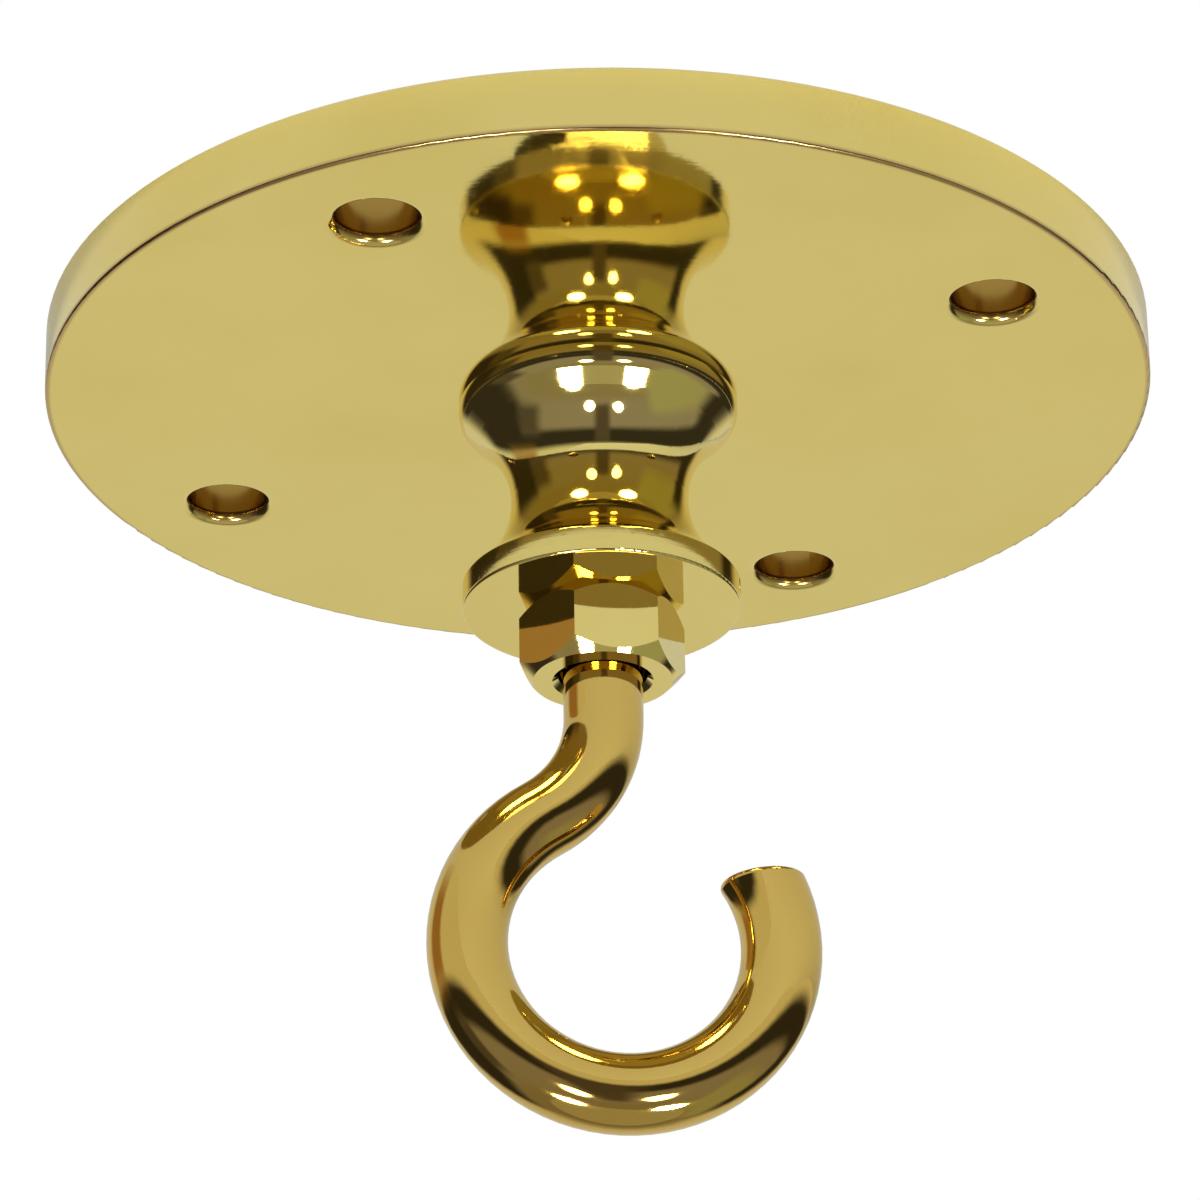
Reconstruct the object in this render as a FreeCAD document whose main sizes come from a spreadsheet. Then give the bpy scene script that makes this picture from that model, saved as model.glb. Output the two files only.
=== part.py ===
import FreeCAD, Part
import math
import os

import Sketcher
from FreeCAD import Vector

# A polished brass ceiling hook, as it hangs. The origin is the middle of the plate's back, on the ceiling,
# +Z is up and the hook's loop lies in the XZ plane. From the ceiling down come a round plate with four
# screw holes, a turned spindle, a hexagon lock nut and a hook bent from round rod. The hook's threaded
# shank passes through the nut and the spindle and screws into the plate.

# Driving dimensions in millimetres and degrees. Each becomes a cell of the sheet, with its name as alias.
SIZES = {
    "plate_d": 100.0,             # ceiling plate, across
    "plate_thick": 6.1,
    "plate_edge_round": 0.3,      # rounding of the visible lower edge
    "plate_back_break": 0.3,      # small bevel round the back
    "hole_d": 7.0,                # screw holes
    "hole_circle_d": 79.0,
    "hole_count": 4,
    "hole_edge_round": 1.0,       # softened lower mouth of each screw hole
    "hole_turn": 56.0,            # first screw hole, from +X towards +Y
    "thread_d": 8.0,              # hook thread, also the tapped holes of plate and nut
    "spindle_bore_clear": 0.4,    # spindle bore over thread, on diameter
    "spindle_height": 20.5,
    "base_d": 25.3,               # rounded moulding at the spindle's base, where it is widest
    "base_bulge_r": 2.0,
    "base_drop": 0.6,             # the widest level, below the plate
    "cone_length": 1.75,          # straight slope between the bulge and the hollow of the waist
    "waist_d": 16.0,
    "waist_depth": 9.6,           # waist below the plate
    "flange_d": 24.9,             # flared lower end
    "flange_rim": 2.3,            # upright rim of the flare, with its lower rounding
    "flange_top_round": 0.3,
    "flange_low_round": 0.25,
    "nut_flats": 13.0,
    "nut_height": 6.85,
    "nut_turn": 5.4,              # turn of the nut when tight, about +Z
    "nut_face_d": 12.4,           # flat ring left by the end chamfers
    "nut_chamfer_angle": 45.0,
    "nut_countersink_d": 9.0,
    "rod_d": 7.1,                 # hook rod
    "thread_set_in": 1.2,         # thread ends this far up inside the nut
    "thread_run_out": 0.8,        # taper from thread to rod
    "thread_point": 0.9,          # bevel at the top end of the thread
    "shank_end_gap": 0.6,         # shank end below the plate's back
    "neck_length": 3.65,          # straight rod below the nut
    "bend_r": 11.5,               # first bend, at the rod's centre line
    "loop_inside_d": 20.35,
    "loop_offset": 1.5,           # loop centre from the shank's axis
    "tip_angle": 28.0,            # end of the rod, above the loop's centre
    "tip_slope": 6.0,             # slope of the cut end
    "tip_round": 0.45,
}

# How far a cutting profile reaches past the face that it cuts.
CUT_OVERRUN = 1.0

# Depths of the seats below the ceiling, as sheet expressions.
PLATE_FACE = "sizes.plate_thick"
SPINDLE_FACE = PLATE_FACE + " + sizes.spindle_height"
NUT_FACE = SPINDLE_FACE + " + sizes.nut_height"
THREAD_END = NUT_FACE + " - sizes.thread_set_in"
BEND_START = NUT_FACE + " + sizes.neck_length"

# The nut's end chamfers, from the flat ring out to a radius well past the corners.
NUT_CHAMFER_RISE = "(sizes.nut_flats - sizes.nut_face_d / 2) * tan(sizes.nut_chamfer_angle * 1 deg)"

# The hook's loop: radius and depth of its centre line. The bend touches the loop from outside, so the
# distance of their centres is the sum of their radii.
LOOP_R = "(sizes.loop_inside_d + sizes.rod_d) / 2"
LOOP_DROP = "sqrt((sizes.bend_r + %s)^2 - (sizes.bend_r + sizes.loop_offset)^2)" % LOOP_R
LOOP_DEPTH = "%s + %s" % (BEND_START, LOOP_DROP)

START, END, CENTRE = 1, 2, 3
ORIGIN = (-1, START)
X_AXIS_LINE = -1
Y_AXIS_LINE = -2

doc = FreeCAD.newDocument("ceiling_hook")


def make_sheet():
    """The spreadsheet of driving dimensions: name in column A, value and alias in column B."""
    sheet = doc.addObject("Spreadsheet::Sheet", "sizes")
    for row, (name, value) in enumerate(SIZES.items(), start=1):
        sheet.set("A%d" % row, name)
        sheet.set("B%d" % row, str(value))
        sheet.setAlias("B%d" % row, name)
    doc.recompute()


def size(name):
    return SIZES[name]


def new_body(label):
    body = doc.addObject("PartDesign::Body", label)
    body.Label = label
    return body


def origin_feature(body, role):
    return next(item for item in body.Origin.OriginFeatures if item.Role == role)


def new_sketch(body, name, plane_role):
    sketch = body.newObject("Sketcher::SketchObject", name)
    sketch.AttachmentSupport = (origin_feature(body, plane_role), [""])
    sketch.MapMode = "FlatFace"
    return sketch


def bind(sketch, name, expression, kind, *where):
    """Adds a measured constraint and ties it to the sheet."""
    measure = FreeCAD.Units.Quantity(doc.sizes.evalExpression(expression)).Value
    if kind == "Angle":
        sketch_value = math.radians(measure)
        expression = "(%s) * 1 deg" % expression
    else:
        sketch_value = measure
    index = sketch.addConstraint(Sketcher.Constraint(kind, *where, sketch_value))
    sketch.renameConstraint(index, name)
    sketch.setExpression("Constraints." + name, expression)


def fix(sketch, kind, *where):
    sketch.addConstraint(Sketcher.Constraint(kind, *where))


def line(start, end):
    return Part.LineSegment(Vector(*start), Vector(*end))


def arc(centre, radius, first_degrees, last_degrees):
    """An arc that runs counter-clockwise from the first angle to the last."""
    circle = Part.Circle(Vector(*centre), Vector(0, 0, 1), radius)
    return Part.ArcOfCircle(circle, math.radians(first_degrees), math.radians(last_degrees))


def joined_ends(sketch, one, other):
    """The ends at which two pieces of geometry meet."""
    pairs = [(a, b) for a in (START, END) for b in (START, END)]
    return min(pairs, key=lambda p: sketch.getPoint(one, p[0]).distanceToPoint(sketch.getPoint(other, p[1])))


def chain(sketch, pieces, smooth=(), closed=True):
    """Adds the pieces end to end. Those named in smooth run on tangentially into the next one."""
    ids = {name: sketch.addGeometry(geometry, False) for name, geometry in pieces.items()}
    names = list(pieces)
    pairs = list(zip(names, names[1:]))
    if closed:
        pairs.append((names[-1], names[0]))
    for name, following in pairs:
        end, start = joined_ends(sketch, ids[name], ids[following])
        kind = "Tangent" if name in smooth else "Coincident"
        fix(sketch, kind, ids[name], end, ids[following], start)
    return ids


def revolve(body, name, kind, sketch, axis):
    feature = body.newObject(kind, name)
    feature.Profile = sketch
    feature.ReferenceAxis = axis
    feature.Angle = 360.0
    doc.recompute()
    return feature


def make_ceiling_plate():
    """A turned disc with a tapped centre hole, and screw holes with softened mouths."""
    body = new_body("ceiling_plate")
    outer = size("plate_d") / 2
    bore = size("thread_d") / 2
    face = -size("plate_thick")
    rounding = size("plate_edge_round")
    bevel = size("plate_back_break")

    profile = new_sketch(body, "plate_profile", "XZ_Plane")
    ids = chain(profile, {
        "back": line((bore, 0), (outer - bevel, 0)),
        "bevel": line((outer - bevel, 0), (outer, -bevel)),
        "edge": line((outer, -bevel), (outer, face + rounding)),
        "rounding": arc((outer - rounding, face + rounding), rounding, -90, 0),
        "face": line((outer - rounding, face), (bore, face)),
        "bore": line((bore, face), (bore, 0)),
    }, smooth=("edge", "rounding"))
    fix(profile, "PointOnObject", ids["back"], START, X_AXIS_LINE)
    fix(profile, "Horizontal", ids["back"])
    fix(profile, "Vertical", ids["edge"])
    fix(profile, "Horizontal", ids["face"])
    fix(profile, "Vertical", ids["bore"])
    bind(profile, "bore_radius", "sizes.thread_d / 2", "DistanceX", *ORIGIN, ids["bore"], END)
    bind(profile, "outer_radius", "sizes.plate_d / 2", "DistanceX", *ORIGIN, ids["edge"], START)
    bind(profile, "thickness", PLATE_FACE, "DistanceY", ids["bore"], START, *ORIGIN)
    bind(profile, "edge_round", "sizes.plate_edge_round", "Radius", ids["rounding"])
    bind(profile, "bevel_width", "sizes.plate_back_break", "DistanceX", ids["bevel"], START, ids["bevel"], END)
    bind(profile, "bevel_depth", "sizes.plate_back_break", "DistanceY", ids["bevel"], END, ids["bevel"], START)
    revolve(body, "plate_disc", "PartDesign::Revolution", profile, (origin_feature(body, "Z_Axis"), [""]))

    middle = size("hole_circle_d") / 2
    radius = size("hole_d") / 2
    mouth = size("hole_edge_round")
    above = CUT_OVERRUN
    below = face - CUT_OVERRUN
    hole = new_sketch(body, "hole_profile", "XZ_Plane")
    axis = hole.addGeometry(line((middle, below), (middle, above)), True)
    ids = chain(hole, {
        "top": line((middle, above), (middle + radius, above)),
        "wall": line((middle + radius, above), (middle + radius, face + mouth)),
        "mouth": arc((middle + radius + mouth, face + mouth), mouth, 180, 270),
        "skirt": line((middle + radius + mouth, face), (middle + radius + mouth, below)),
        "bottom": line((middle + radius + mouth, below), (middle, below)),
        "core": line((middle, below), (middle, above)),
    }, smooth=("wall",))
    fix(hole, "Coincident", axis, START, ids["core"], START)
    fix(hole, "Coincident", axis, END, ids["core"], END)
    for side in ("wall", "skirt", "core"):
        fix(hole, "Vertical", ids[side])
    for side in ("top", "bottom"):
        fix(hole, "Horizontal", ids[side])
    fix(hole, "Vertical", ids["mouth"], CENTRE, ids["mouth"], END)
    bind(hole, "from_middle", "sizes.hole_circle_d / 2", "DistanceX", *ORIGIN, ids["core"], START)
    bind(hole, "radius", "sizes.hole_d / 2", "DistanceX", ids["top"], START, ids["top"], END)
    bind(hole, "mouth_round", "sizes.hole_edge_round", "Radius", ids["mouth"])
    bind(hole, "mouth_depth", PLATE_FACE, "DistanceY", ids["skirt"], START, *ORIGIN)
    hole.addConstraint(Sketcher.Constraint("DistanceY", *ORIGIN, ids["top"], START, CUT_OVERRUN))
    hole.addConstraint(Sketcher.Constraint("DistanceY", ids["skirt"], END, ids["skirt"], START, CUT_OVERRUN))
    drilled = revolve(body, "screw_hole", "PartDesign::Groove", hole, (hole, ["Axis0"]))

    pattern = body.newObject("PartDesign::PolarPattern", "screw_holes")
    pattern.Originals = [drilled]
    pattern.Axis = (origin_feature(body, "Z_Axis"), [""])
    pattern.Angle = 360.0
    pattern.setExpression("Occurrences", "sizes.hole_count")
    body.Tip = pattern
    turn_about_z(body, "sizes.hole_turn")
    return body


def turn_about_z(body, degrees_expression):
    body.Placement = FreeCAD.Placement(Vector(), FreeCAD.Rotation(Vector(0, 0, 1), 1.0))
    body.setExpression(".Placement.Rotation.Angle", "(%s) * 1 deg" % degrees_expression)


def make_spindle():
    """A turned spindle: a rounded moulding at the plate, a cone, a waist, and a flare that ends in a rim."""
    body = new_body("spindle")
    top = -size("plate_thick")
    low = top - size("spindle_height")
    bore = (size("thread_d") + size("spindle_bore_clear")) / 2
    base = size("base_d") / 2
    bulge = size("base_bulge_r")
    bulge_z = top - size("base_drop")
    waist = size("waist_d") / 2
    waist_z = top - size("waist_depth")
    rim = size("flange_d") / 2
    rim_z = low + size("flange_rim")
    top_round = size("flange_top_round")
    low_round = size("flange_low_round")

    # The bulge curves in again above its widest level, to the seat.
    lean = math.asin(size("base_drop") / bulge)
    seat = base - bulge + bulge * math.cos(lean)
    # The cone touches the bulge and the cove, which lie on either side of it. Its length sets the cove's
    # radius, and its turn is from upright.
    drop = bulge_z - waist_z
    narrowing = base - waist
    radii = (narrowing ** 2 + drop ** 2 - size("cone_length") ** 2) / (2 * narrowing)
    cove = radii - bulge
    across = radii - narrowing
    turn = math.atan2(drop, across) - math.acos(radii / math.hypot(across, drop))
    cone_top = (base - bulge + bulge * math.cos(turn), bulge_z - bulge * math.sin(turn))
    cone_low = (waist + cove - cove * math.cos(turn), waist_z + cove * math.sin(turn))
    turn_degrees = math.degrees(turn)
    # The flare touches the rounding of its rim from outside.
    rise = waist_z - rim_z
    reach = rim - top_round - waist
    flare = (rise ** 2 + reach ** 2 - top_round ** 2) / (2 * (reach + top_round))
    swing = math.degrees(math.atan2(rise, flare - reach))

    profile = new_sketch(body, "spindle_profile", "XZ_Plane")
    ids = chain(profile, {
        "seat": line((bore, top), (seat, top)),
        "bulge": arc((base - bulge, bulge_z), bulge, -turn_degrees, math.degrees(lean)),
        "cone": line(cone_top, cone_low),
        "cove": arc((waist + cove, waist_z), cove, 180 - turn_degrees, 180),
        "flare": arc((waist + flare, waist_z), flare, 180, 180 + swing),
        "rim_top": arc((rim - top_round, rim_z), top_round, 0, swing),
        "rim": line((rim, rim_z), (rim, low + low_round)),
        "rim_low": arc((rim - low_round, low + low_round), low_round, -90, 0),
        "face": line((rim - low_round, low), (bore, low)),
        "bore": line((bore, low), (bore, top)),
    }, smooth=("bulge", "cone", "flare", "rim_top", "rim", "rim_low"))
    for side in ("seat", "face"):
        fix(profile, "Horizontal", ids[side])
    for side in ("rim", "bore"):
        fix(profile, "Vertical", ids[side])
    fix(profile, "Horizontal", ids["cove"], CENTRE, ids["cove"], END)
    fix(profile, "Horizontal", ids["flare"], CENTRE, ids["flare"], START)
    bind(profile, "bore_radius", "(sizes.thread_d + sizes.spindle_bore_clear) / 2", "DistanceX",
         *ORIGIN, ids["bore"], END)
    bind(profile, "bulge_middle", "sizes.base_d / 2 - sizes.base_bulge_r", "DistanceX",
         *ORIGIN, ids["bulge"], CENTRE)
    bind(profile, "bulge_level", PLATE_FACE + " + sizes.base_drop", "DistanceY", ids["bulge"], CENTRE, *ORIGIN)
    bind(profile, "bulge_radius", "sizes.base_bulge_r", "Radius", ids["bulge"])
    bind(profile, "cone_length", "sizes.cone_length", "Distance", ids["cone"])
    bind(profile, "waist_radius", "sizes.waist_d / 2", "DistanceX", *ORIGIN, ids["flare"], START)
    bind(profile, "waist_level", PLATE_FACE + " + sizes.waist_depth", "DistanceY", ids["flare"], START, *ORIGIN)
    bind(profile, "rim_radius", "sizes.flange_d / 2", "DistanceX", *ORIGIN, ids["rim"], START)
    bind(profile, "rim_height", "sizes.flange_rim", "DistanceY", ids["face"], START, ids["rim"], START)
    bind(profile, "rim_top_round", "sizes.flange_top_round", "Radius", ids["rim_top"])
    bind(profile, "rim_low_round", "sizes.flange_low_round", "Radius", ids["rim_low"])
    bind(profile, "seat_level", PLATE_FACE, "DistanceY", ids["seat"], START, *ORIGIN)
    bind(profile, "face_level", SPINDLE_FACE, "DistanceY", ids["face"], END, *ORIGIN)
    revolve(body, "turned_spindle", "PartDesign::Revolution", profile, (origin_feature(body, "Z_Axis"), [""]))
    return body


def make_lock_nut():
    """A hexagon nut, chamfered at both ends and countersunk round its thread."""
    body = new_body("lock_nut")
    inscribed = size("nut_flats") / 2
    corner = inscribed / math.cos(math.pi / 6)

    outline = new_sketch(body, "nut_outline", "XY_Plane")
    outline.setExpression(".AttachmentOffset.Base.z", "-(%s)" % SPINDLE_FACE)
    corners = [(corner * math.cos(a), corner * math.sin(a)) for a in (math.radians(60 * k) for k in range(6))]
    ids = chain(outline, {k: line(corners[k], corners[(k + 1) % 6]) for k in range(6)})
    guide = outline.addGeometry(Part.Circle(Vector(), Vector(0, 0, 1), inscribed), True)
    thread = outline.addGeometry(Part.Circle(Vector(), Vector(0, 0, 1), size("thread_d") / 2), False)
    for circle in (guide, thread):
        fix(outline, "Coincident", circle, CENTRE, *ORIGIN)
    for k in range(6):
        fix(outline, "Tangent", ids[k], guide)
    for k in range(1, 6):
        fix(outline, "Equal", ids[0], ids[k])
    fix(outline, "Horizontal", ids[1])
    bind(outline, "across_flats", "sizes.nut_flats", "Diameter", guide)
    bind(outline, "thread", "sizes.thread_d", "Diameter", thread)
    blank = body.newObject("PartDesign::Pad", "nut_blank")
    blank.Profile = outline
    blank.Reversed = True
    blank.setExpression("Length", "sizes.nut_height")
    doc.recompute()

    ends = new_sketch(body, "nut_end_cuts", "XZ_Plane")
    upper = -size("plate_thick") - size("spindle_height")
    lower = upper - size("nut_height")
    ring = size("nut_face_d") / 2
    outside = size("nut_flats")
    sink = size("nut_countersink_d") / 2
    rise = (outside - ring) * math.tan(math.radians(size("nut_chamfer_angle")))
    for name, level, inward, depth in (("upper", upper, -1, SPINDLE_FACE), ("lower", lower, 1, NUT_FACE)):
        below, above = (START, END) if inward > 0 else (END, START)
        chamfer = chain(ends, {
            "face": line((ring, level), (outside, level)),
            "outside": line((outside, level), (outside, level + inward * rise)),
            "slope": line((outside, level + inward * rise), (ring, level)),
        })
        fix(ends, "Horizontal", chamfer["face"])
        fix(ends, "Vertical", chamfer["outside"])
        bind(ends, name + "_level", depth, "DistanceY", chamfer["face"], START, *ORIGIN)
        bind(ends, name + "_ring", "sizes.nut_face_d / 2", "DistanceX", *ORIGIN, chamfer["face"], START)
        bind(ends, name + "_outside", "sizes.nut_flats", "DistanceX", *ORIGIN, chamfer["outside"], START)
        bind(ends, name + "_rise", NUT_CHAMFER_RISE, "DistanceY",
             chamfer["outside"], below, chamfer["outside"], above)
        cone = chain(ends, {
            "face": line((0, level), (sink, level)),
            "slope": line((sink, level), (0, level + inward * sink)),
            "axis": line((0, level + inward * sink), (0, level)),
        })
        fix(ends, "PointOnObject", cone["face"], START, Y_AXIS_LINE)
        fix(ends, "Horizontal", cone["face"])
        fix(ends, "Vertical", cone["axis"])
        fix(ends, "Horizontal", cone["face"], START, chamfer["face"], START)
        fix(ends, "Equal", cone["face"], cone["axis"])
        bind(ends, name + "_sink", "sizes.nut_countersink_d / 2", "DistanceX", cone["face"], START, cone["face"], END)
    revolve(body, "nut_ends", "PartDesign::Groove", ends, (origin_feature(body, "Z_Axis"), [""]))
    turn_about_z(body, "sizes.nut_turn")
    return body


def make_hook():
    """A threaded shank that runs on as round rod, bent to one side and then round into an open loop."""
    body = new_body("hook")
    rod = size("rod_d") / 2
    thread = size("thread_d") / 2
    point = size("thread_point")
    top = -size("shank_end_gap")
    nut_face = -size("plate_thick") - size("spindle_height") - size("nut_height")
    thread_end = nut_face + size("thread_set_in")
    bend_start = nut_face - size("neck_length")
    bend = size("bend_r")
    loop = (size("loop_inside_d") + size("rod_d")) / 2
    offset = size("loop_offset")

    shank = new_sketch(body, "shank_profile", "XZ_Plane")
    ids = chain(shank, {
        "top": line((0, top), (thread - point, top)),
        "point": line((thread - point, top), (thread, top - point)),
        "thread": line((thread, top - point), (thread, thread_end + size("thread_run_out"))),
        "run_out": line((thread, thread_end + size("thread_run_out")), (rod, thread_end)),
        "end": line((rod, thread_end), (0, thread_end)),
        "axis": line((0, thread_end), (0, top)),
    })
    fix(shank, "PointOnObject", ids["top"], START, Y_AXIS_LINE)
    for side in ("top", "end"):
        fix(shank, "Horizontal", ids[side])
    for side in ("thread", "axis"):
        fix(shank, "Vertical", ids[side])
    bind(shank, "top_level", "sizes.shank_end_gap", "DistanceY", ids["top"], START, *ORIGIN)
    bind(shank, "end_level", THREAD_END, "DistanceY", ids["end"], START, *ORIGIN)
    bind(shank, "thread_radius", "sizes.thread_d / 2", "DistanceX", *ORIGIN, ids["thread"], START)
    bind(shank, "rod_radius", "sizes.rod_d / 2", "DistanceX", *ORIGIN, ids["end"], START)
    bind(shank, "run_out", "sizes.thread_run_out", "DistanceY", ids["run_out"], END, ids["run_out"], START)
    bind(shank, "point_width", "sizes.thread_point", "DistanceX", ids["point"], START, ids["point"], END)
    bind(shank, "point_depth", "sizes.thread_point", "DistanceY", ids["point"], END, ids["point"], START)
    revolve(body, "threaded_shank", "PartDesign::Revolution", shank, (origin_feature(body, "Z_Axis"), [""]))

    section = new_sketch(body, "rod_section", "XY_Plane")
    section.setExpression(".AttachmentOffset.Base.z", "-(%s)" % THREAD_END)
    circle = section.addGeometry(Part.Circle(Vector(), Vector(0, 0, 1), rod), False)
    fix(section, "Coincident", circle, CENTRE, *ORIGIN)
    bind(section, "rod", "sizes.rod_d", "Diameter", circle)

    swing = math.degrees(math.acos((bend + offset) / (bend + loop)))
    loop_z = bend_start - (bend + loop) * math.sin(math.radians(swing))
    spare = math.degrees(rod / loop)
    path = new_sketch(body, "rod_path", "XZ_Plane")
    ids = chain(path, {
        "neck": line((0, thread_end), (0, bend_start)),
        "bend": arc((-bend, bend_start), bend, -swing, 0),
        "loop": arc((offset, loop_z), loop, 180 - swing, 360 + size("tip_angle") + spare),
    }, smooth=("neck", "bend"), closed=False)
    fix(path, "PointOnObject", ids["neck"], START, Y_AXIS_LINE)
    fix(path, "Vertical", ids["neck"])
    bind(path, "neck_top", THREAD_END, "DistanceY", ids["neck"], START, *ORIGIN)
    bind(path, "bend_level", BEND_START, "DistanceY", ids["neck"], END, *ORIGIN)
    bind(path, "bend_radius", "sizes.bend_r", "Radius", ids["bend"])
    bind(path, "loop_radius", LOOP_R, "Radius", ids["loop"])
    bind(path, "loop_offset", "sizes.loop_offset", "DistanceX", *ORIGIN, ids["loop"], CENTRE)
    reach = path.addGeometry(line((offset, loop_z), tuple(path.getPoint(ids["loop"], END))[:2]), True)
    fix(path, "Coincident", reach, START, ids["loop"], CENTRE)
    fix(path, "Coincident", reach, END, ids["loop"], END)
    bind(path, "loop_end", "sizes.tip_angle + sizes.rod_d / 2 / (%s) * 180 / pi" % LOOP_R, "Angle", reach)
    bent = body.newObject("PartDesign::AdditivePipe", "bent_rod")
    bent.Profile = section
    bent.Spine = (path, ["Edge1", "Edge2", "Edge3"])
    doc.recompute()

    # The sloping end cut: a rectangle whose first side crosses the loop's centre line at the tip angle.
    tip = math.radians(size("tip_angle"))
    slope = math.radians(size("tip_slope"))
    along = Vector(math.cos(slope), math.sin(slope), 0) * size("rod_d")
    away = Vector(-math.sin(slope), math.cos(slope), 0) * size("rod_d")
    middle = Vector(offset + loop * math.cos(tip), loop_z + loop * math.sin(tip), 0)
    cut = new_sketch(body, "tip_cut_outline", "XZ_Plane")
    ids = chain(cut, {
        "cut": line(middle - along, middle + along),
        "outer": line(middle + along, middle + along + away),
        "far": line(middle + along + away, middle - along + away),
        "inner": line(middle - along + away, middle - along),
    })
    crossing = cut.addGeometry(Part.Point(middle), True)
    fix(cut, "Symmetric", ids["cut"], START, ids["cut"], END, crossing, START)
    for side, following in (("cut", "outer"), ("outer", "far"), ("far", "inner")):
        fix(cut, "Perpendicular", ids[side], ids[following])
    tip_degrees = "sizes.tip_angle * 1 deg"
    bind(cut, "tip_x", "sizes.loop_offset + %s * cos(%s)" % (LOOP_R, tip_degrees), "DistanceX",
         *ORIGIN, crossing, START)
    bind(cut, "tip_depth", "%s - %s * sin(%s)" % (LOOP_DEPTH, LOOP_R, tip_degrees), "DistanceY",
         crossing, START, *ORIGIN)
    bind(cut, "slope", "sizes.tip_slope", "Angle", ids["cut"])
    bind(cut, "cut_length", "2 * sizes.rod_d", "Distance", ids["cut"])
    bind(cut, "cut_depth", "sizes.rod_d", "Distance", ids["outer"])
    cut_off = body.newObject("PartDesign::Pocket", "tip_cut")
    cut_off.Profile = cut
    cut_off.Midplane = True
    cut_off.setExpression("Length", "2 * sizes.rod_d")
    doc.recompute()

    normal = Vector(-math.sin(slope), 0, math.cos(slope))
    end_face = next(f for f in cut_off.Shape.Faces
                    if isinstance(f.Surface, Part.Plane) and f.normalAt(0, 0).getAngle(normal) < 1e-4)
    names = ["Edge%d" % (k + 1) for k, edge in enumerate(cut_off.Shape.Edges)
             if any(edge.isSame(side) for side in end_face.Edges)]
    rounded = body.newObject("PartDesign::Fillet", "tip_rounding")
    rounded.Base = (cut_off, names)
    rounded.setExpression("Radius", "sizes.tip_round")
    doc.recompute()
    return body


def check(bodies):
    """Stops if any object failed, or if a body isn't one valid solid."""
    for item in doc.Objects:
        if "Invalid" in item.State or "Error" in item.State:
            raise RuntimeError("%s failed: %s" % (item.Name, item.State))
    for body in bodies:
        shape = body.Shape
        if shape.isNull() or not shape.isValid() or len(shape.Solids) != 1:
            raise RuntimeError("%s isn't one valid solid" % body.Label)


make_sheet()
BODIES = [make_ceiling_plate(), make_spindle(), make_lock_nut(), make_hook()]
doc.recompute()
check(BODIES)
os.makedirs("parts", exist_ok=True)
for body in BODIES:
    body.Shape.exportStep("parts/%s.step" % body.Label)
    print("%s: %.1f mm3" % (body.Label, body.Shape.Volume))
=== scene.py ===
import math

import bmesh
import bpy
from mathutils import Matrix, Vector


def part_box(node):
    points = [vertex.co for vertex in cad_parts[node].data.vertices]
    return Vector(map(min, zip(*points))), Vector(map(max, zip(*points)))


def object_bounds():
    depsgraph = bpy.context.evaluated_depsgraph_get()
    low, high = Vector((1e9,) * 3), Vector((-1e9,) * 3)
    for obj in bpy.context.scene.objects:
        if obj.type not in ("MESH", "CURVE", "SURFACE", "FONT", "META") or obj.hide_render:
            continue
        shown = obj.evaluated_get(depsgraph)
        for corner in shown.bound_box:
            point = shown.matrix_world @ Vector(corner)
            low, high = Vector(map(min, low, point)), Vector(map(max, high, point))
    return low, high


# A polished brass ceiling hook, seen from a little below, before white. Lengths are in metres.

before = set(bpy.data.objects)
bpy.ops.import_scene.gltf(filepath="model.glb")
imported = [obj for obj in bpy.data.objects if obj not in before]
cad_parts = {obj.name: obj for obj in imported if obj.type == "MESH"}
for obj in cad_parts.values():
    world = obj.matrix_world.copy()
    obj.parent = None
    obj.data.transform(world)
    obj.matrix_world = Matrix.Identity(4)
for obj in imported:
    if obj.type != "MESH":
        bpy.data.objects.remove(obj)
CAD_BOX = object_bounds()
MIDDLE = (CAD_BOX[0] + CAD_BOX[1]) / 2
PLATE_FACE_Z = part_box("ceiling_plate")[0].z

# The camera, by the middle of the plate's lower face.
CAMERA_DISTANCE = 0.520
CAMERA_BELOW = math.radians(27.40)
CAMERA_HEADING = math.radians(-5.94)    # the hook's loop is turned a little from the picture plane
LOOK_UP = math.radians(25.47)
CAMERA_ROLL = math.radians(-1.01)
CAMERA_LENS_MM = 171.8
CAMERA_NEAREST = 0.01
PICTURE_SIDE_PX = 1200
SIDEWAYS_PX = -1.5                      # a very small picture shift

# The brass is polished, but dull inside the screw holes, which are darkened with painted shade; a brown line
# painted along the plate's lower edge is a painted reflection of the dim room. The rod is of a redder brass.
BRASS = (0.86, 0.69, 0.23)
WARM_BRASS = (0.83, 0.65, 0.20)
ROD_BRASS = (0.71, 0.48, 0.125)
WARM_ROD_BRASS = (0.675, 0.445, 0.11)
BORE_BRASS_AND_PAINTED_SHADE = (0.44, 0.28, 0.07)
EDGE_PAINTED_REFLECTION = (0.55, 0.38, 0.15)
POLISHED_ROUGHNESS = 0.045
ROD_ROUGHNESS = 0.06

# What roughens the polish, each added where it shows.
CLOUD_ROUGHNESS = 0.02
SPECK_ROUGHNESS = 0.03
BORE_ROUGHNESS = 0.14
EDGE_ROUGHNESS = 0.12

# The grain of the finish, as waves per metre, and how much of the noise counts as a cloud or a speck.
CLOUD_SCALE = 55.0
CLOUD_LIMITS = (0.35, 0.75)
SPECK_SCALE = 1300.0
SPECK_LIMITS = (0.5, 0.8)
TURNED_LINE_SCALE = 2600.0
RUBBED_LINE_SCALE = 700.0

# The relief of polishing lines and specks.
RELIEF_DEPTH = 0.00003
RELIEF_STRENGTH = 0.05
LINE_SHARE = 0.7
SPECK_SHARE = 0.3

# Plate and screw holes. Each reach is the distance up to which a mark (painted shade and roughness in the
# bores, a painted reflection and roughness along the edge) is full, and the one where it ends.
PLATE_R = 0.05
HOLE_CIRCLE_R = 0.0395
HOLE_TURN = math.radians(56)
HOLE_COUNT = 4
BORE_REACH = (0.0036, 0.0040)           # from the hole's axis: the bore's radius is 3.5 mm
EDGE_REACH = (0.0002, 0.0006)           # from the plate's lower edge

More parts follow.
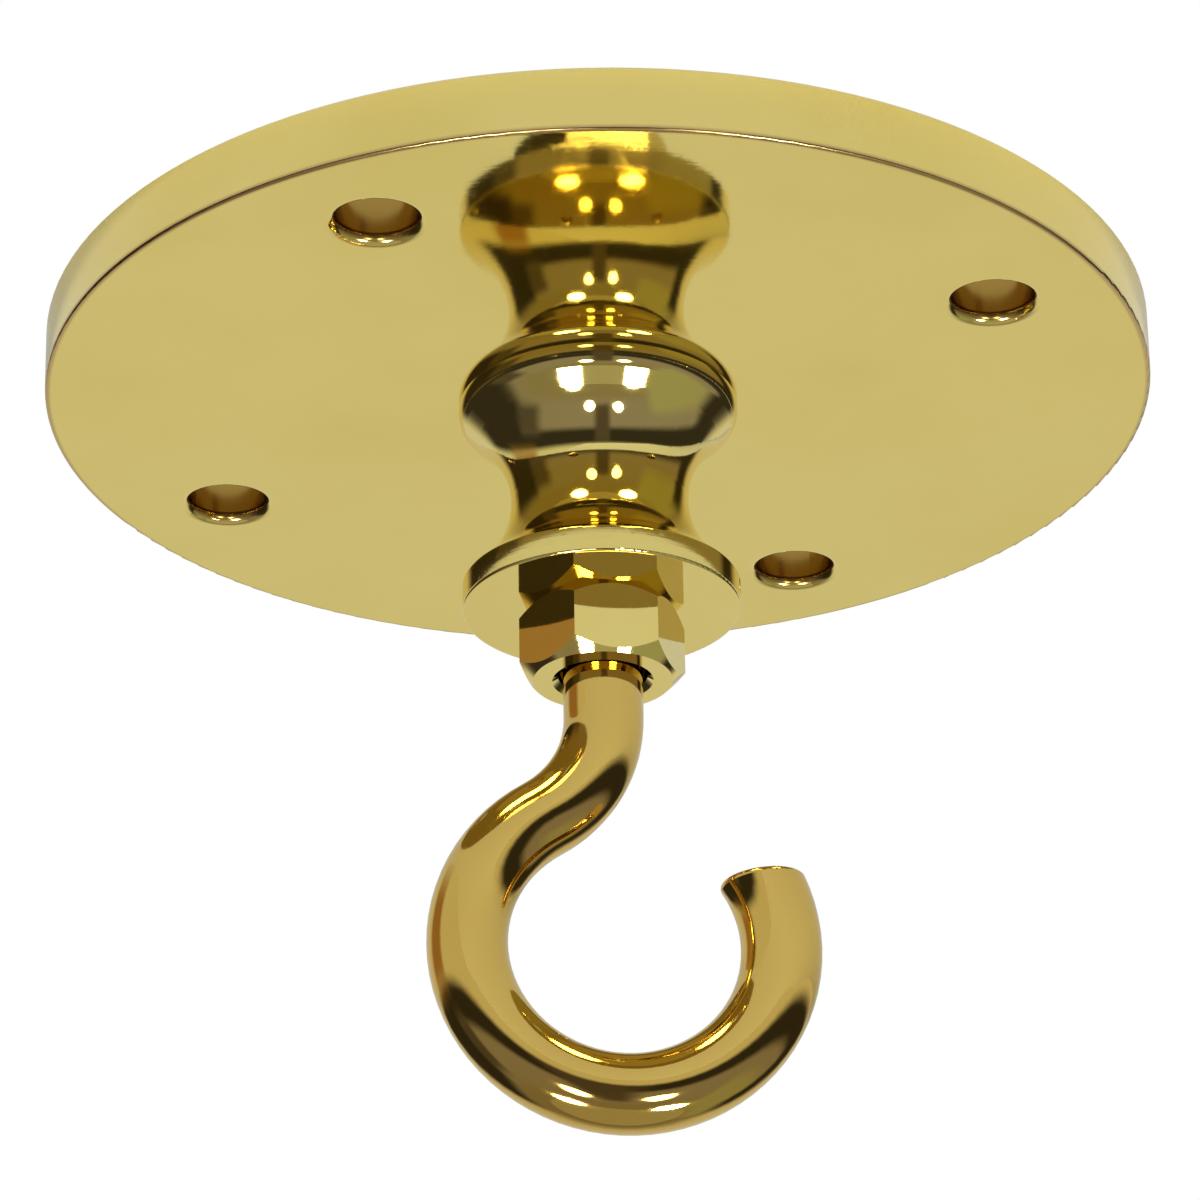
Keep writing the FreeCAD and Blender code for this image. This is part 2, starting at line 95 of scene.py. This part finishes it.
# The studio: pale above and behind, and a dim room on the camera's side.
WHITE = (1.0, 1.0, 1.0)
BACKDROP = (0.69, 0.70, 0.62)
DARK_WALL = (0.035, 0.032, 0.028)
NEAR_FLOOR = (0.26, 0.24, 0.19)
ROOM = (0.28, 0.265, 0.29)
RIGHT_WALL = (0.35, 0.37, 0.26)
LEFT_WALL = (0.09, 0.08, 0.08)
CAMERA_BLACK = (0.09, 0.075, 0.07)
WOOD = (0.36, 0.22, 0.09)
FLOOR_COLOUR = (0.62, 0.60, 0.56)
FLOOR_DEPTH = 1.2
FLOOR_R = 0.6
FLOOR_SEGMENTS = 96

# The white board round the plate's back: its edges from the hook's axis, as the camera sees them.
BOARD_COLOUR = (0.70, 0.735, 0.75)
BOARD_LEFT = -0.066
BOARD_RIGHT = 0.40
BOARD_FRONT = -0.23
BOARD_BACK = 0.40
BOARD_GAP = 0.0005
BOARD_OPENING_R = 0.0495                # a little less than the plate
BOARD_SEGMENTS = 128

# The lamps: two wide ones far down and two slim ones, by width and height. 1 is as bright as white.
LAMP_DISTANCE = 0.8
OUTER_LAMP_SIZE = (0.21, 0.16)
OUTER_LAMP_BRIGHTNESS = 26.0
INNER_LAMP_SIZE = (0.14, 0.18)
INNER_LAMP_BRIGHTNESS = 10.0

# The sockets of a Mix node that blends colours, which share their names with its other sockets.
MIX_FIRST = 6
MIX_SECOND = 7
MIX_RESULT = 2


class Socket:
    """An output socket. An expression on sockets and numbers adds its Math nodes."""

    def __init__(self, recipe, output):
        self.recipe = recipe
        self.output = output

    def maths(self, operation, first, second=0.0):
        return self.recipe.node("ShaderNodeMath", {"operation": operation}, {0: first, 1: second})

    def __add__(self, other):
        return self.maths("ADD", self, other)

    def __sub__(self, other):
        return self.maths("SUBTRACT", self, other)

    def __rsub__(self, other):
        return self.maths("SUBTRACT", other, self)

    def __mul__(self, other):
        return self.maths("MULTIPLY", self, other)

    def __pow__(self, other):
        return self.maths("POWER", self, other)

    def __abs__(self):
        return self.maths("ABSOLUTE", self)

    __radd__ = __add__
    __rmul__ = __mul__


class Recipe:
    """A node tree that is built node by node."""

    def __init__(self, tree):
        self.tree = tree
        tree.nodes.clear()

    def node(self, kind, settings=None, inputs=None, output=0):
        """Adds a node: its settings first, then the values or links of its sockets."""
        made = self.tree.nodes.new(kind)
        for name, value in (settings or {}).items():
            setattr(made, name, value)
        for name, value in (inputs or {}).items():
            if isinstance(value, Socket):
                self.tree.links.new(value.output, made.inputs[name])
            else:
                made.inputs[name].default_value = value
        return Socket(self, made.outputs[output]) if made.outputs else None

    def step(self, value, low, high):
        """0 below low, 1 above high and smooth between."""
        return self.node("ShaderNodeMapRange", {"interpolation_type": "SMOOTHSTEP"},
                         {"Value": value, "From Min": low, "From Max": high})

    def between(self, value, low, high, soft):
        """1 between low and high, with soft ends."""
        return self.step(value, low - soft, low + soft) - self.step(value, high - soft, high + soft)

    def near(self, off_x, off_y, reach):
        """1 where both offsets are small, and 0 beyond the reach."""
        return 1.0 - self.step((off_x * off_x + off_y * off_y) ** 0.5, *reach)

    def blend(self, share, first, second):
        """From the first colour to the second."""
        colours = [(*c, 1.0) if isinstance(c, tuple) else c for c in (first, second)]
        return self.node("ShaderNodeMix", {"data_type": "RGBA"},
                         {"Factor": share, MIX_FIRST: colours[0], MIX_SECOND: colours[1]}, output=MIX_RESULT)

    def noise(self, vector, scale, detail):
        return self.node("ShaderNodeTexNoise", inputs={"Vector": vector, "Scale": scale, "Detail": detail})

    def turn(self, vector, angle):
        """The vector turned round the Z axis."""
        return self.node("ShaderNodeVectorRotate", {"rotation_type": "Z_AXIS"},
                         {"Vector": vector, "Angle": angle})

    def split(self, vector):
        made = self.node("ShaderNodeSeparateXYZ", inputs={"Vector": vector})
        outputs = made.output.node.outputs
        return [Socket(self, outputs[k]) for k in range(3)]

    def join(self, x, y, z):
        return self.node("ShaderNodeCombineXYZ", inputs={0: x, 1: y, 2: z})


def polished_brass(name, pale, warm, base_roughness, turned=False, painted_holes_and_edge=False):
    """Polished brass with faint clouds of a warmer tone, polishing lines and specks.

    The lines of a turned piece run round its axis. The plate, also turned, has dull screw holes darkened with
    painted shade, and a brown line painted along its lower edge as a painted reflection of the dim room.
    """
    material = bpy.data.materials.new(name)
    material.use_nodes = True
    recipe = Recipe(material.node_tree)
    place = recipe.node("ShaderNodeTexCoord", output="Object")
    clouds = recipe.step(recipe.noise(place, CLOUD_SCALE, detail=3.0), *CLOUD_LIMITS)
    specks = recipe.step(recipe.noise(place, SPECK_SCALE, detail=2.0), *SPECK_LIMITS)
    if turned:
        x, y, z = recipe.split(place)
        radius = (x * x + y * y) ** 0.5
        lines = recipe.noise(recipe.join(radius, z, 0.0), TURNED_LINE_SCALE, detail=3.0)
    else:
        lines = recipe.noise(place, RUBBED_LINE_SCALE, detail=3.0)
    colour = recipe.blend(clouds, pale, warm)
    roughness = base_roughness + SPECK_ROUGHNESS * specks + CLOUD_ROUGHNESS * clouds
    if painted_holes_and_edge:
        half_pitch = math.pi / HOLE_COUNT
        across, along, _ = recipe.split(recipe.turn(place, half_pitch - HOLE_TURN))
        corner = HOLE_CIRCLE_R * math.cos(half_pitch)
        bore = recipe.near(abs(across) - corner, abs(along) - corner, BORE_REACH)
        # Painted shade: the bores of the screw holes are darkened in colour for the shade inside them; their
        # added roughness is a real dull drilled finish.
        colour = recipe.blend(bore, colour, BORE_BRASS_AND_PAINTED_SHADE)
        # Painted reflection: a brown line along the plate's lower edge stands in for the dim room mirrored in
        # the edge's rounding; the added roughness softens it.
        edge = recipe.near(radius - PLATE_R, z - PLATE_FACE_Z, EDGE_REACH)
        colour = recipe.blend(edge, colour, EDGE_PAINTED_REFLECTION)
        roughness = roughness + BORE_ROUGHNESS * bore + EDGE_ROUGHNESS * edge
    relief = recipe.node("ShaderNodeBump", inputs={
        "Strength": RELIEF_STRENGTH, "Distance": RELIEF_DEPTH,
        "Height": LINE_SHARE * lines + SPECK_SHARE * specks})
    shader = recipe.node("ShaderNodeBsdfPrincipled", inputs={
        "Base Color": colour, "Metallic": 1.0, "Roughness": roughness, "Normal": relief})
    recipe.node("ShaderNodeOutputMaterial", inputs={"Surface": shader})
    return material


def dress_pieces():
    yellow = (BRASS, WARM_BRASS, POLISHED_ROUGHNESS)
    finishes = {
        "ceiling_plate": polished_brass("plate_brass", *yellow, turned=True, painted_holes_and_edge=True),
        "spindle": polished_brass("turned_brass", *yellow, turned=True),
        "lock_nut": polished_brass("nut_brass", *yellow),
        "hook": polished_brass("rod_brass", ROD_BRASS, WARM_ROD_BRASS, ROD_ROUGHNESS),
    }
    for name, material in finishes.items():
        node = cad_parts[name]
        node.data.materials.clear()
        node.data.materials.append(material)


def make_camera():
    data = bpy.data.cameras.new("camera")
    data.lens = CAMERA_LENS_MM
    data.shift_x = SIDEWAYS_PX / PICTURE_SIDE_PX
    data.clip_start = CAMERA_NEAREST
    camera = bpy.data.objects.new("camera", data)
    bpy.context.scene.collection.objects.link(camera)
    towards = Matrix.Rotation(CAMERA_HEADING, 4, "Z")
    back = towards @ Vector((0, -math.cos(CAMERA_BELOW), -math.sin(CAMERA_BELOW)))
    turn = towards @ Matrix.Rotation(math.pi / 2 + LOOK_UP, 4, "X") @ Matrix.Rotation(CAMERA_ROLL, 4, "Z")
    face_middle = Vector((0, 0, PLATE_FACE_Z))
    camera.matrix_world = Matrix.Translation(face_middle + back * CAMERA_DISTANCE) @ turn
    bpy.context.scene.camera = camera


def direction(azimuth, elevation):
    """Azimuth 0 is towards the camera, and positive to its right. Both are in degrees."""
    a, e = math.radians(azimuth), math.radians(elevation)
    level = Vector((math.sin(a) * math.cos(e), -math.cos(a) * math.cos(e), math.sin(e)))
    return Matrix.Rotation(CAMERA_HEADING, 3, "Z") @ level


def make_lamp(name, azimuth, elevation, size, brightness):
    """A soft oval lamp that faces the object."""
    width, height = size
    data = bpy.data.lights.new(name, "AREA")
    data.shape = "ELLIPSE"
    data.size = width
    data.size_y = height
    area = math.pi / 4 * width * height
    data.energy = brightness * math.pi * area
    lamp = bpy.data.objects.new(name, data)
    bpy.context.scene.collection.objects.link(lamp)
    away = direction(azimuth, elevation)
    lamp.location = MIDDLE + away * LAMP_DISTANCE
    lamp.rotation_mode = "QUATERNION"
    lamp.rotation_quaternion = away.to_track_quat("Z", "Y")
    lamp.visible_camera = False


def make_room():
    """The world: patches of plain colour, by azimuth and elevation in degrees. The camera sees white."""
    world = bpy.data.worlds.new("studio")
    bpy.context.scene.world = world
    world.use_nodes = True
    recipe = Recipe(world.node_tree)
    look = recipe.turn(recipe.node("ShaderNodeTexCoord", output="Generated"), -CAMERA_HEADING)
    across, away, up = recipe.split(look)
    azimuth = math.degrees(1) * across.maths("ARCTAN2", across, -1.0 * away)
    elevation = math.degrees(1) * up.maths("ARCSINE", up)

    def patch(room, colour, azimuths, elevations, soft_sides, soft_ends):
        beside = recipe.between(azimuth, *azimuths, soft_sides)
        share = beside * recipe.between(elevation, *elevations, soft_ends)
        return recipe.blend(share, room, colour)

    room = recipe.blend(recipe.step(elevation, -55, -40), NEAR_FLOOR, ROOM)
    room = recipe.blend(recipe.step(elevation, -19, -10), room, DARK_WALL)
    room = patch(room, RIGHT_WALL, azimuths=(62, 135), elevations=(-62, -30), soft_sides=8, soft_ends=8)
    room = patch(room, LEFT_WALL, azimuths=(-125, -70), elevations=(-40, -10), soft_sides=7, soft_ends=7)
    room = patch(room, CAMERA_BLACK, azimuths=(-4, 13), elevations=(-42, 2), soft_sides=4, soft_ends=5)
    room = patch(room, DARK_WALL, azimuths=(119, 138), elevations=(-44, 0), soft_sides=6, soft_ends=8)
    room = patch(room, DARK_WALL, azimuths=(-138, -95), elevations=(-44, 0), soft_sides=6, soft_ends=8)
    behind = recipe.step(abs(azimuth), 136, 150) * recipe.step(elevation, -58, -30)
    room = recipe.blend(behind, room, BACKDROP)
    room = recipe.blend(recipe.step(elevation, 0, 8), room, BACKDROP)
    room = patch(room, WOOD, azimuths=(-118, -80), elevations=(3, 40), soft_sides=7, soft_ends=9)
    camera_ray = recipe.node("ShaderNodeLightPath", output="Is Camera Ray")
    colour = recipe.blend(camera_ray, room, WHITE)
    shader = recipe.node("ShaderNodeBackground", inputs={"Color": colour, "Strength": 1.0})
    recipe.node("ShaderNodeOutputWorld", inputs={"Surface": shader})


def make_sheet(name, shape, height, colour):
    """A flat sheet of the studio in plain paint, out of the camera's sight. It keeps the camera's heading."""
    mesh = bpy.data.meshes.new(name)
    shape.to_mesh(mesh)
    shape.free()
    sheet = bpy.data.objects.new(name, mesh)
    sheet.location.z = height
    sheet.rotation_euler.z = CAMERA_HEADING
    sheet.visible_camera = False
    bpy.context.scene.collection.objects.link(sheet)
    material = bpy.data.materials.new(name + "_paint")
    material.use_nodes = True
    recipe = Recipe(material.node_tree)
    paint = recipe.node("ShaderNodeBsdfDiffuse", inputs={"Color": (*colour, 1.0)})
    recipe.node("ShaderNodeOutputMaterial", inputs={"Surface": paint})
    mesh.materials.append(material)


def make_floor():
    """A pale round floor, far below the picture."""
    shape = bmesh.new()
    bmesh.ops.create_circle(shape, cap_ends=True, segments=FLOOR_SEGMENTS, radius=FLOOR_R)
    make_sheet("floor", shape, -FLOOR_DEPTH, FLOOR_COLOUR)


def make_board():
    """The white board that the brass mirrors: a wide ring round the plate's back, cut straight."""
    shape = bmesh.new()
    for radius in (BOARD_OPENING_R, 2 * BOARD_RIGHT):
        bmesh.ops.create_circle(shape, segments=BOARD_SEGMENTS, radius=radius)
    bmesh.ops.bridge_loops(shape, edges=shape.edges)
    cuts = (
        (BOARD_LEFT, (-1, 0, 0)),
        (BOARD_RIGHT, (1, 0, 0)),
        (BOARD_FRONT, (0, -1, 0)),
        (BOARD_BACK, (0, 1, 0)),
    )
    for place, outward in cuts:
        everything = [*shape.verts, *shape.edges, *shape.faces]
        bmesh.ops.bisect_plane(shape, geom=everything, plane_co=Vector(outward) * abs(place),
                               plane_no=outward, clear_outer=True)
    make_sheet("board", shape, CAD_BOX[1].z + BOARD_GAP, BOARD_COLOUR)


def make_studio():
    make_room()
    make_floor()
    make_board()
    outer = (OUTER_LAMP_SIZE, OUTER_LAMP_BRIGHTNESS)
    inner = (INNER_LAMP_SIZE, INNER_LAMP_BRIGHTNESS)
    make_lamp("outer_left_lamp", -36, -61, *outer)
    make_lamp("outer_right_lamp", 51, -60, *outer)
    make_lamp("inner_left_lamp", -10, -38, *inner)
    make_lamp("inner_right_lamp", 24, -36, *inner)


dress_pieces()
make_camera()
make_studio()
bpy.context.scene.view_settings.view_transform = "Standard"
